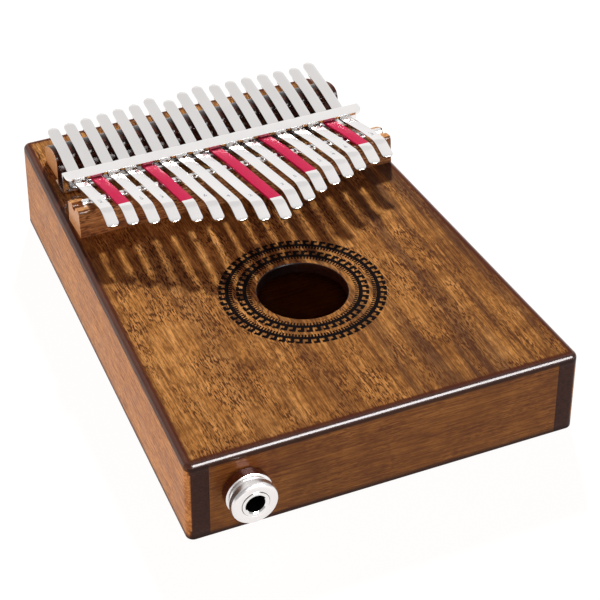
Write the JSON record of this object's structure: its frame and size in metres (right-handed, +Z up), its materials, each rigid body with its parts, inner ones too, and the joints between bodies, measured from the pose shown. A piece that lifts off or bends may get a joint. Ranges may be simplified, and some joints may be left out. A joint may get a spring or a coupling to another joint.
{
  "type": "mbira",
  "caption": "Box mbira: flat steel tines pressed by a slotted bracket over a rod and wooden bridges, on a hollow wooden box with a sound hole and an output jack.",
  "frame": {"origin": "middle of the underside of the box, where it rests", "axes": "+X to the player's right, +Y away from the player along the tines, +Z up out of the soundboard"},
  "size_m": [0.138, 0.1987, 0.0534],
  "materials": {
    "soundboard_lacquer": "gloss lacquer over golden brown stained wood",
    "body_wood": "gloss lacquer over red-brown wood",
    "brace_wood": "bare planed wood",
    "saddle_wood": "satin, dark stain with bare ends",
    "bridge_wood": "satin figured wood",
    "rosette_inlay": "black inlay with a pale pattern under lacquer",
    "tine_steel": "brushed spring steel",
    "tine_red": "spring steel, painted crimson between the bracket and the tip",
    "nickel": "polished nickel plate",
    "screw_steel": "zinc plated",
    "nylon": "matte",
    "brass": "satin",
    "lead_jacket": "matte"
  },
  "bodies": {
    "box": {"soundboard": "soundboard_lacquer", "back_plate": "body_wood", "side_left": "body_wood", "side_right": "body_wood", "end_front": "body_wood", "end_rear": "body_wood", "brace_rear": "brace_wood", "brace_middle": "brace_wood", "brace_front": "brace_wood", "rosette_inner": "rosette_inlay", "rosette_outer": "rosette_inlay", "rear_saddle": "saddle_wood", "front_bridge": "bridge_wood", "bridge_rod": "nickel", "bracket_flange": "nickel", "bracket_web": "nickel", "bracket_foot": "nickel", "bracket_screw_1": "screw_steel", "bracket_screw_2": "screw_steel", "bracket_screw_3": "screw_steel", "jack_strap_button": "nickel", "jack_barrel": "nickel", "jack_washer": "nickel", "jack_nut": "nickel", "jack_insulator": "nylon", "jack_lug_tip": "brass", "jack_lug_sleeve": "brass", "piezo_disc": "brass", "pickup_lead": "lead_jacket"},
    "tine_01": {"tine_01": "tine_steel"},
    "tine_02": {"tine_02": "tine_red"},
    "tine_03": {"tine_03": "tine_steel"},
    "tine_04": {"tine_04": "tine_steel"},
    "tine_05": {"tine_05": "tine_red"},
    "tine_06": {"tine_06": "tine_steel"},
    "tine_07": {"tine_07": "tine_steel"},
    "tine_08": {"tine_08": "tine_steel"},
    "tine_09": {"tine_09": "tine_red"},
    "tine_10": {"tine_10": "tine_steel"},
    "tine_11": {"tine_11": "tine_steel"},
    "tine_12": {"tine_12": "tine_red"},
    "tine_13": {"tine_13": "tine_steel"},
    "tine_14": {"tine_14": "tine_steel"},
    "tine_15": {"tine_15": "tine_steel"},
    "tine_16": {"tine_16": "tine_red"},
    "tine_17": {"tine_17": "tine_steel"}
  },
  "joints": [
    {"name": "tine_01_press", "type": "hinge", "parent": "box", "child": "tine_01", "pos_m": [-0.0508, 0.03579, 0.04486], "axis": [1, 0, 0], "range_deg": [0, 1.5], "stiffness_Nm_per_rad": 0.1},
    {"name": "tine_02_press", "type": "hinge", "parent": "box", "child": "tine_02", "pos_m": [-0.0443, 0.03579, 0.04486], "axis": [1, 0, 0], "range_deg": [0, 1.5], "stiffness_Nm_per_rad": 0.1},
    {"name": "tine_03_press", "type": "hinge", "parent": "box", "child": "tine_03", "pos_m": [-0.0378, 0.03579, 0.04486], "axis": [1, 0, 0], "range_deg": [0, 1.5], "stiffness_Nm_per_rad": 0.1},
    {"name": "tine_04_press", "type": "hinge", "parent": "box", "child": "tine_04", "pos_m": [-0.0313, 0.03579, 0.04486], "axis": [1, 0, 0], "range_deg": [0, 1.5], "stiffness_Nm_per_rad": 0.1},
    {"name": "tine_05_press", "type": "hinge", "parent": "box", "child": "tine_05", "pos_m": [-0.0248, 0.03579, 0.04486], "axis": [1, 0, 0], "range_deg": [0, 1.5], "stiffness_Nm_per_rad": 0.1},
    {"name": "tine_06_press", "type": "hinge", "parent": "box", "child": "tine_06", "pos_m": [-0.0183, 0.03579, 0.04486], "axis": [1, 0, 0], "range_deg": [0, 1.5], "stiffness_Nm_per_rad": 0.1},
    {"name": "tine_07_press", "type": "hinge", "parent": "box", "child": "tine_07", "pos_m": [-0.0118, 0.03579, 0.04486], "axis": [1, 0, 0], "range_deg": [0, 1.5], "stiffness_Nm_per_rad": 0.1},
    {"name": "tine_08_press", "type": "hinge", "parent": "box", "child": "tine_08", "pos_m": [-0.0053, 0.03579, 0.04486], "axis": [1, 0, 0], "range_deg": [0, 1.5], "stiffness_Nm_per_rad": 0.1},
    {"name": "tine_09_press", "type": "hinge", "parent": "box", "child": "tine_09", "pos_m": [0.0012, 0.03579, 0.04486], "axis": [1, 0, 0], "range_deg": [0, 1.5], "stiffness_Nm_per_rad": 0.1},
    {"name": "tine_10_press", "type": "hinge", "parent": "box", "child": "tine_10", "pos_m": [0.0077, 0.03579, 0.04486], "axis": [1, 0, 0], "range_deg": [0, 1.5], "stiffness_Nm_per_rad": 0.1},
    {"name": "tine_11_press", "type": "hinge", "parent": "box", "child": "tine_11", "pos_m": [0.0142, 0.03579, 0.04486], "axis": [1, 0, 0], "range_deg": [0, 1.5], "stiffness_Nm_per_rad": 0.1},
    {"name": "tine_12_press", "type": "hinge", "parent": "box", "child": "tine_12", "pos_m": [0.0207, 0.03579, 0.04486], "axis": [1, 0, 0], "range_deg": [0, 1.5], "stiffness_Nm_per_rad": 0.1},
    {"name": "tine_13_press", "type": "hinge", "parent": "box", "child": "tine_13", "pos_m": [0.0272, 0.03579, 0.04486], "axis": [1, 0, 0], "range_deg": [0, 1.5], "stiffness_Nm_per_rad": 0.1},
    {"name": "tine_14_press", "type": "hinge", "parent": "box", "child": "tine_14", "pos_m": [0.0337, 0.03579, 0.04486], "axis": [1, 0, 0], "range_deg": [0, 1.5], "stiffness_Nm_per_rad": 0.1},
    {"name": "tine_15_press", "type": "hinge", "parent": "box", "child": "tine_15", "pos_m": [0.0402, 0.03579, 0.04486], "axis": [1, 0, 0], "range_deg": [0, 1.5], "stiffness_Nm_per_rad": 0.1},
    {"name": "tine_16_press", "type": "hinge", "parent": "box", "child": "tine_16", "pos_m": [0.0467, 0.03579, 0.04486], "axis": [1, 0, 0], "range_deg": [0, 1.5], "stiffness_Nm_per_rad": 0.1},
    {"name": "tine_17_press", "type": "hinge", "parent": "box", "child": "tine_17", "pos_m": [0.0532, 0.03579, 0.04486], "axis": [1, 0, 0], "range_deg": [0, 1.5], "stiffness_Nm_per_rad": 0.1}
  ]
}
